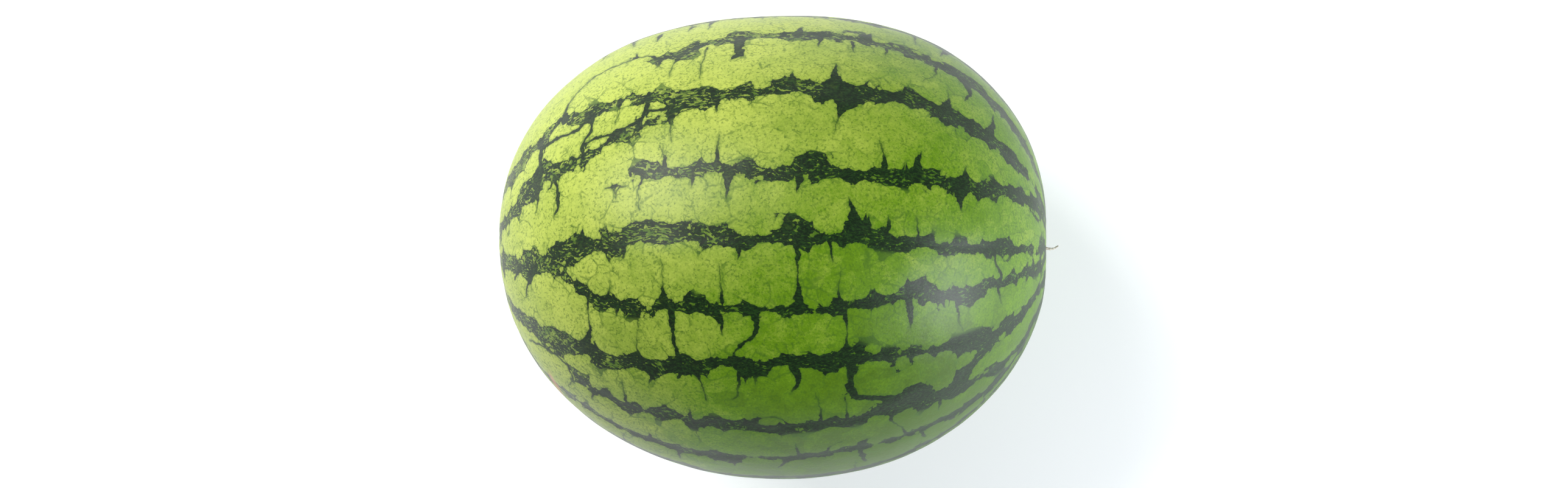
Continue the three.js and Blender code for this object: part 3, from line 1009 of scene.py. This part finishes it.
class MELON_OT_add_stalk(Operator):
    """Add the short dried stalk in its hollow at the end of the fruit"""

    bl_idname = "melon.add_stalk"
    bl_label = "Add stalk"

    def execute(self, context):
        shape = context.scene.melon_stalk
        low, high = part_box("stalk")
        middle = fruit_middle(context.scene.melon_fruit)
        sides, steps = 30, 60
        reach = high.x - low.x + STALK_ROOT
        share = np.linspace(0, 1, steps)
        spots = np.array([0, 0.3, 0.65, 1])
        sideways = np.polyval(np.polyfit(spots, np.array([0, -0.7, -0.7, 1]) * shape.curl, 3), share)
        hanging = np.polyval(np.polyfit(spots, np.array([0, -0.2, -0.6, -1]) * shape.droop, 3), share)
        outward = low.x - STALK_ROOT + share * reach
        spine = np.stack([outward, middle[1] + sideways, middle[2] + hanging], axis=1)
        tangent = np.gradient(spine, axis=0)
        tangent /= np.linalg.norm(tangent, axis=1)[:, None]
        level = np.cross(tangent, (0, 0, 1))
        level /= np.linalg.norm(level, axis=1)[:, None]
        upright = np.cross(level, tangent)

        radii = [shape.middle_radius * 1.25, shape.middle_radius, shape.tip_radius]
        slim = np.interp(share, [0, 0.5, 1], radii)
        flare = (shape.foot_radius - shape.middle_radius) * np.exp(-((share / 0.13) ** 2))
        turn = np.linspace(0, 2 * math.pi, sides, endpoint=False)
        rings = []
        for i, s in enumerate(share):
            ribbed = 1 + 0.13 * np.cos(shape.ribs * (turn + 2.2 * s)) + 0.05 * np.cos(3 * turn + 9 * s)
            knots = 1 + 0.09 * math.sin(31 * s) + 0.06 * math.sin(67 * s + 1)
            radius = (slim[i] + flare[i]) * ribbed * knots
            if i == steps - 1:
                radius = radius * 0.55
            beside = spine[i] + np.outer(radius * np.cos(turn), level[i])
            rings.append(beside + np.outer(radius * np.sin(turn), upright[i]))
        points = np.concatenate([spine[:1], *rings, spine[-1:]])
        piece = add_piece("watermelon_stalk", points, ring_faces(steps, sides))
        from_foot = np.concatenate([[0], np.repeat(share, sides), [1]])
        set_field(piece.data, "from_foot", from_foot)
        piece.data.materials.append(stalk_material(shape))
        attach(piece, "root")
        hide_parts("stalk")
        return {"FINISHED"}


class MELON_OT_set_stage(Operator):
    """Set the pale floor, the soft studio light and the camera over the fruit"""

    bl_idname = "melon.set_stage"
    bl_label = "Set stage"

    def execute(self, context):
        scene = context.scene
        stage = scene.melon_stage
        low = cad_box[0]
        middle = Vector(fruit_middle(scene.melon_fruit))

        half = FLOOR_SIZE / 2
        corners = np.array([
            (-half, -half, low.z), (half, -half, low.z), (half, half, low.z), (-half, half, low.z)])
        floor = add_piece("floor", corners, [(0, 1, 2, 3)])
        floor.data.materials.append(floor_material(stage, middle))

        # walls brighter on the key light's side, and a dim ceiling
        bench = NodeBench(bpy.data.worlds.new("studio"))
        look = bench.add("ShaderNodeTexCoord").outputs["Generated"]
        x, y, z = bench.part(look)
        sideways = bench.math("ADD", bench.math("MULTIPLY", x, -0.9), bench.math("MULTIPLY", y, 0.4))
        walls = bench.between(sideways, -0.7, 0.9, stage.far_walls, stage.near_walls)
        upward = bench.between(z, 0.15, 0.95)
        strength = bench.math("ADD", bench.math("MULTIPLY", walls, bench.math("SUBTRACT", 1, upward)),
                              bench.math("MULTIPLY", upward, stage.overhead))
        scene.world = bench.surround(WALL_COLOUR, strength)

        def soft_light(name, position, power, colour):
            data = bpy.data.lights.new(name, "AREA")
            data.shape = "SQUARE"
            data.size = LIGHT_SIZE
            data.energy = power
            data.color = colour
            light = bpy.data.objects.new(name, data)
            light.location = middle + Vector(position)
            light.rotation_mode = "QUATERNION"
            light.rotation_quaternion = (-Vector(position)).to_track_quat("-Z", "Y")
            light.visible_camera = False
            scene.collection.objects.link(light)

        soft_light("key", KEY_AT, stage.key, KEY_COLOUR)
        soft_light("side", SIDE_AT, stage.side, SIDE_COLOUR)

        data = bpy.data.cameras.new("camera")
        data.lens = stage.lens
        data.sensor_width = 36
        data.clip_start = 0.05
        data.clip_end = 50
        camera = bpy.data.objects.new("camera", data)
        scene.collection.objects.link(camera)
        back = Vector((math.sin(stage.tilt), 0, math.cos(stage.tilt)))
        right = Vector((math.cos(stage.tilt), 0, -math.sin(stage.tilt)))
        off_centre = right * AIM_RIGHT + Vector((0, AIM_UP, 0))
        camera.location = middle + back * stage.camera_distance + off_centre
        camera.rotation_mode = "QUATERNION"
        camera.rotation_quaternion = Matrix((right, (0, 1, 0), back)).transposed().to_quaternion()
        scene.camera = camera
        scene.view_settings.view_transform = "Standard"
        return {"FINISHED"}


class MELON_PT_sidebar(Panel):
    """The watermelon's steps, in the order they are made"""

    bl_idname = "MELON_PT_sidebar"
    bl_label = "Watermelon"
    bl_space_type = "VIEW_3D"
    bl_region_type = "UI"
    bl_category = "Watermelon"

    def draw(self, context):
        for group, step in (
            (context.scene.melon_fruit, MELON_OT_grow_fruit),
            (context.scene.melon_rind, None),
            (context.scene.melon_stalk, MELON_OT_add_stalk),
            (context.scene.melon_stage, MELON_OT_set_stage),
        ):
            box = self.layout.box()
            for setting in group.bl_rna.properties.keys():
                if setting not in ("rna_type", "name"):
                    box.prop(group, setting)
            if step:
                box.operator(step.bl_idname)


SETTINGS = {
    "melon_fruit": FruitShape,
    "melon_rind": RindColours,
    "melon_stalk": StalkShape,
    "melon_stage": StageLight,
}
CLASSES = (*SETTINGS.values(), MELON_OT_grow_fruit, MELON_OT_add_stalk, MELON_OT_set_stage, MELON_PT_sidebar)


def register():
    for cls in CLASSES:
        bpy.utils.register_class(cls)
    for name, group in SETTINGS.items():
        setattr(bpy.types.Scene, name, PointerProperty(type=group))


def unregister():
    for name in SETTINGS:
        delattr(bpy.types.Scene, name)
    for cls in reversed(CLASSES):
        bpy.utils.unregister_class(cls)


def main():
    register()
    bpy.ops.melon.set_stage()
    bpy.ops.melon.grow_fruit()
    bpy.ops.melon.add_stalk()


if __name__ == "__main__":
    main()
